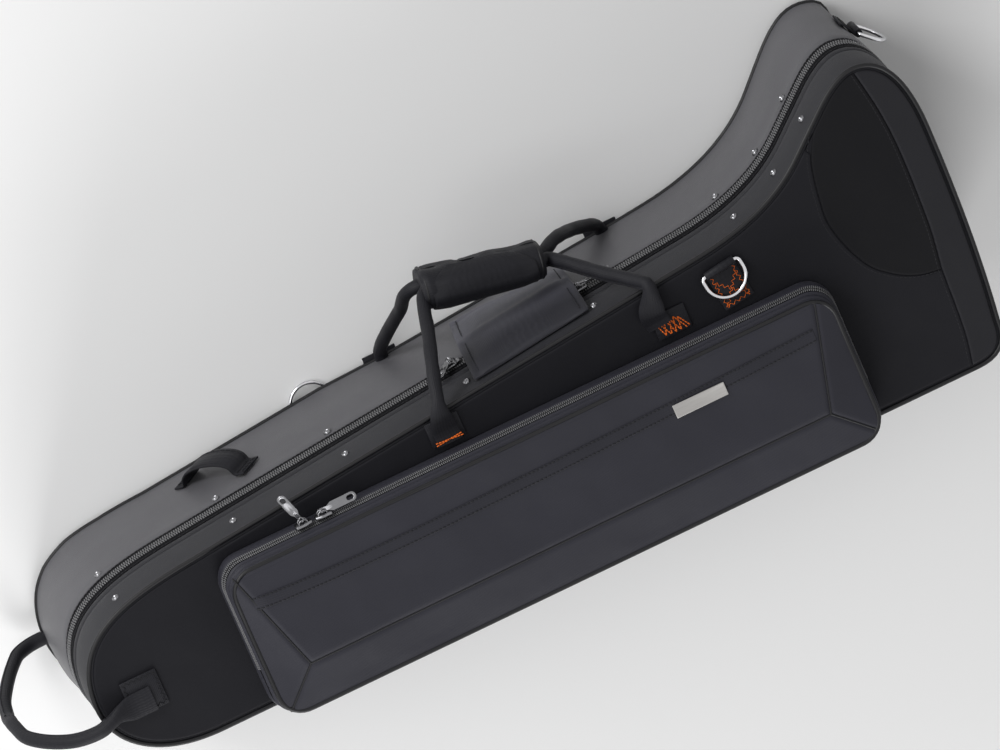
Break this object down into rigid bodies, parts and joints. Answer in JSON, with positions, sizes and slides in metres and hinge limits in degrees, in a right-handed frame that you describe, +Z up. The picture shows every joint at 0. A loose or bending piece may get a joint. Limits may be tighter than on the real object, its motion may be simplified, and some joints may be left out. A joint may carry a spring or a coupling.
{
  "type": "trombone case",
  "caption": "Soft-sided trombone case shaped to the instrument, with a hinged lid closed by a zip, a front pocket, carrying handles and strap rings.",
  "frame": {"origin": "middle of the case's bounding box, on the surface that it lies on", "axes": "+X towards the narrow tail end, -Y towards the spine with the carrying handles, +Z up out of the front with the pocket; the case lies closed on its back"},
  "size_m": [1.0246, 0.3292, 0.2895],
  "materials": {
    "front_fabric": "ballistic weave, black",
    "spine_fabric": "coarse coated weave, dark grey",
    "piping": "cord piping, black",
    "plush": "soft plush over foam",
    "webbing": "woven webbing, black",
    "coil": "coil zip, dark grey",
    "chrome": "polished",
    "plate": "brushed, blank"
  },
  "bodies": {
    "base": {"base_shell": "spine_fabric", "base_piping": "piping", "base_foam_bell": "plush", "base_foam_middle": "plush", "base_foam_tail": "plush", "base_rivets": "chrome", "zip_base_chain": "coil", "hinge_base_leaf": "webbing", "bell_strap": "webbing", "mouthpiece_block": "plush", "back_handle": "webbing", "back_handle_patch_1": "webbing", "back_handle_patch_2": "webbing", "grip_back_half": "webbing", "tail_handle_back_half": "webbing", "side_loop": "webbing", "end_ring_tab": "webbing", "back_ring_tab": "webbing", "zip_flap_root": "front_fabric"},
    "lid": {"lid_shell": "front_fabric", "lid_piping": "piping", "lid_foam": "plush", "lid_rivets": "chrome", "zip_lid_chain": "coil", "hinge_lid_leaf": "webbing", "slide_strap_1": "webbing", "slide_strap_2": "webbing", "front_handle": "webbing", "front_handle_patch_1": "webbing", "front_handle_patch_2": "webbing", "grip_front_half": "webbing", "tail_handle_front_half": "webbing", "tail_handle_patch": "webbing", "front_ring_tab": "webbing", "pocket_gusset": "front_fabric", "pocket_zip_gusset_chain": "coil"},
    "pocket_flap": {"pocket_panel": "front_fabric", "pocket_piping": "piping", "pocket_zip_panel_chain": "coil", "name_plate": "plate"},
    "zip_flap": {"zip_flap": "front_fabric"},
    "front_ring": {"front_ring": "chrome"},
    "end_ring": {"end_ring": "chrome"},
    "back_ring": {"back_ring": "chrome"},
    "tail_zip_slider": {"tail_zip_slider": "chrome"},
    "tail_zip_pull": {"tail_zip_pull": "chrome"},
    "bell_zip_slider": {"bell_zip_slider": "chrome"},
    "bell_zip_pull": {"bell_zip_pull": "chrome"},
    "pocket_tail_slider": {"pocket_tail_slider": "chrome"},
    "pocket_tail_pull": {"pocket_tail_pull": "chrome"},
    "pocket_bell_slider": {"pocket_bell_slider": "chrome"},
    "pocket_bell_pull": {"pocket_bell_pull": "chrome"}
  },
  "joints": [
    {"name": "lid_hinge", "type": "hinge", "parent": "base", "child": "lid", "pos_m": [-0.03142, 0.15726, 0.152], "axis": [-1, 0, 0], "range_deg": [0, 105]},
    {"name": "pocket_hinge", "type": "hinge", "parent": "lid", "child": "pocket_flap", "pos_m": [-0.03242, 0.16326, 0.265], "axis": [-1, 0, 0], "range_deg": [0, 110]},
    {"name": "tail_zip_slide", "type": "slide", "parent": "base", "child": "tail_zip_slider", "axis": [0.9953, 0.0967, 0], "range_m": [0, 0.3]},
    {"name": "tail_zip_pull_hinge", "type": "hinge", "parent": "tail_zip_slider", "child": "tail_zip_pull", "pos_m": [-0.00771, -0.04433, 0.152], "axis": [0, 0, -1], "range_deg": [0, 115]},
    {"name": "bell_zip_slide", "type": "slide", "parent": "base", "child": "bell_zip_slider", "axis": [-0.9953, -0.0967, 0], "range_m": [0, 0.08]},
    {"name": "bell_zip_pull_hinge", "type": "hinge", "parent": "bell_zip_slider", "child": "bell_zip_pull", "pos_m": [-0.14371, -0.05754, 0.152], "axis": [0, 0, 1], "range_deg": [0, 65]},
    {"name": "pocket_tail_slide", "type": "slide", "parent": "lid", "child": "pocket_tail_slider", "axis": [1, 0, 0], "range_m": [0, 0.055]},
    {"name": "pocket_tail_pull_hinge", "type": "hinge", "parent": "pocket_tail_slider", "child": "pocket_tail_pull", "pos_m": [0.19058, -0.00424, 0.265], "axis": [0, 0, -1], "range_deg": [-70, 80]},
    {"name": "pocket_bell_slide", "type": "slide", "parent": "lid", "child": "pocket_bell_slider", "axis": [-1, 0, 0], "range_m": [0, 0.48]},
    {"name": "pocket_bell_pull_hinge", "type": "hinge", "parent": "pocket_bell_slider", "child": "pocket_bell_pull", "pos_m": [0.16758, -0.00424, 0.265], "axis": [0, 0, 1], "range_deg": [0, 120]},
    {"name": "zip_flap_hinge", "type": "hinge", "parent": "base", "child": "zip_flap", "pos_m": [-0.07377, -0.06044, 0.15], "axis": [0.9953, 0.0967, 0], "range_deg": [0, 45]},
    {"name": "front_ring_hinge", "type": "hinge", "parent": "lid", "child": "front_ring", "pos_m": [-0.26342, -0.04404, 0.24655], "axis": [0.9903, 0.1392, 0], "range_deg": [0, 170]},
    {"name": "end_ring_hinge", "type": "hinge", "parent": "base", "child": "end_ring", "pos_m": [-0.4882, -0.14339, 0.081], "axis": [0, 0, 1], "range_deg": [-12, 100]},
    {"name": "back_ring_hinge", "type": "hinge", "parent": "base", "child": "back_ring", "pos_m": [0.11374, -0.006, 0.00395], "axis": [0.9953, 0.0967, 0], "range_deg": [-2, 95]}
  ]
}
